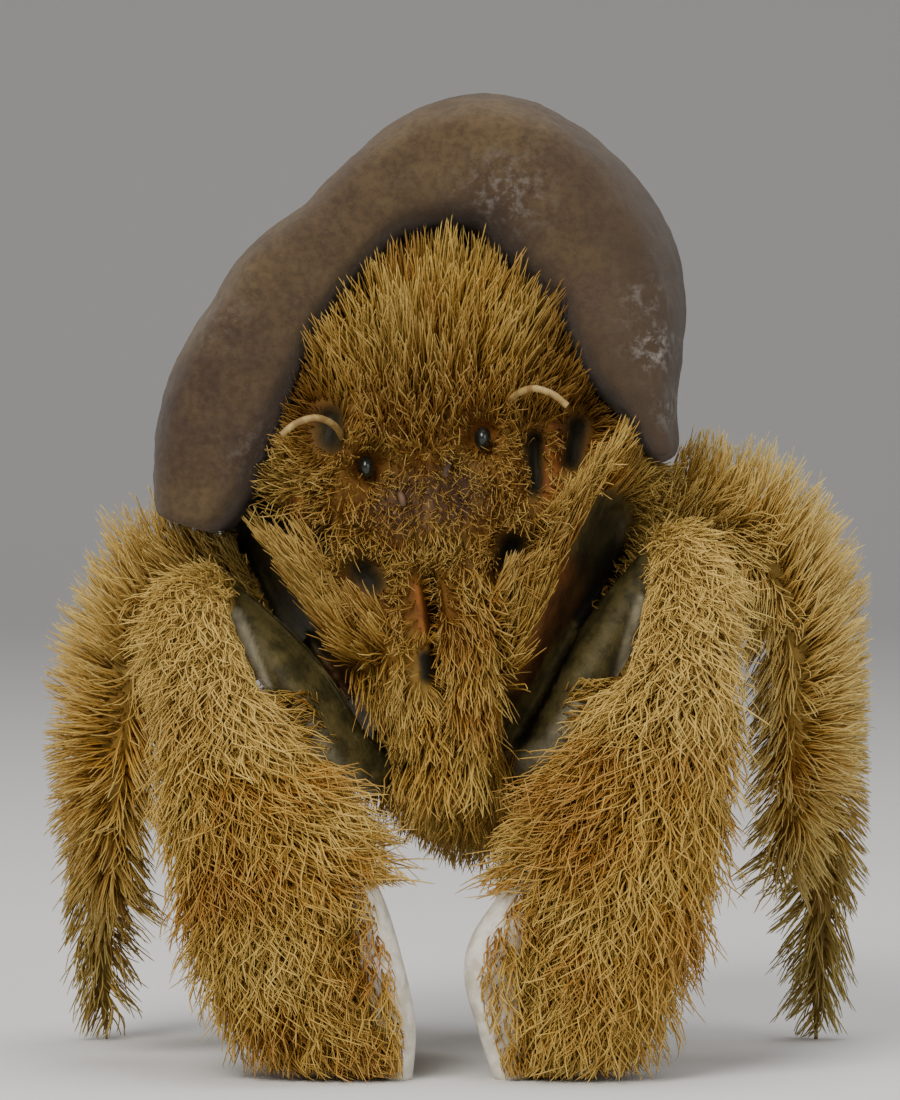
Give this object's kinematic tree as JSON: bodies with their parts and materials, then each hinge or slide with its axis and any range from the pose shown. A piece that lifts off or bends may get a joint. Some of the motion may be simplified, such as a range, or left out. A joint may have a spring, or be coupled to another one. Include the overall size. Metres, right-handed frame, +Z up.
{
  "type": "sponge crab carrying its sponge cap, still model",
  "caption": "Life-size still model of a shaggy sponge crab with raised front, claws and legs on the floor, wearing its sponge cap.",
  "frame": {"origin": "centre of the bounding box's footprint, on the floor", "axes": "+Z up from the floor, -Y the way the crab faces, +X the crab's left side"},
  "size_m": [0.1004, 0.0894, 0.114],
  "materials": {
    "coat": "shaggy straw bristles",
    "shell": "bare olive-brown shell",
    "sponge": "smooth matt sponge",
    "claw": "smooth pale finger",
    "eye": "glossy dark eye"
  },
  "bodies": {
    "root": {"antenna_left": "shell", "antenna_right": "shell", "antennule_left": "shell", "antennule_right": "shell", "carapace": "coat", "cheliped_left_carpus": "coat", "cheliped_left_finger": "claw", "cheliped_left_ischium": "shell", "cheliped_left_merus": "shell", "cheliped_left_palm": "coat", "cheliped_right_carpus": "coat", "cheliped_right_finger": "claw", "cheliped_right_ischium": "shell", "cheliped_right_merus": "shell", "cheliped_right_palm": "coat", "eye_left": "eye", "eye_right": "eye", "face": "coat", "leg2_left_carpus": "coat", "leg2_left_dactyl": "coat", "leg2_left_merus": "coat", "leg2_left_propodus": "coat", "leg2_right_carpus": "coat", "leg2_right_dactyl": "coat", "leg2_right_merus": "coat", "leg2_right_propodus": "coat", "leg3_left_carpus": "coat", "leg3_left_dactyl": "coat", "leg3_left_merus": "coat", "leg3_left_propodus": "coat", "leg3_right_carpus": "coat", "leg3_right_dactyl": "coat", "leg3_right_merus": "coat", "leg3_right_propodus": "coat", "leg4_left_arm": "coat", "leg4_left_hook": "coat", "leg4_right_arm": "coat", "leg4_right_hook": "coat", "leg5_left_arm": "coat", "leg5_left_hook": "coat", "leg5_right_arm": "coat", "leg5_right_hook": "coat", "maxilliped_left": "coat", "maxilliped_right": "coat", "pleon": "coat", "sponge_cap": "sponge", "thorax": "shell"}
  },
  "joints": []
}
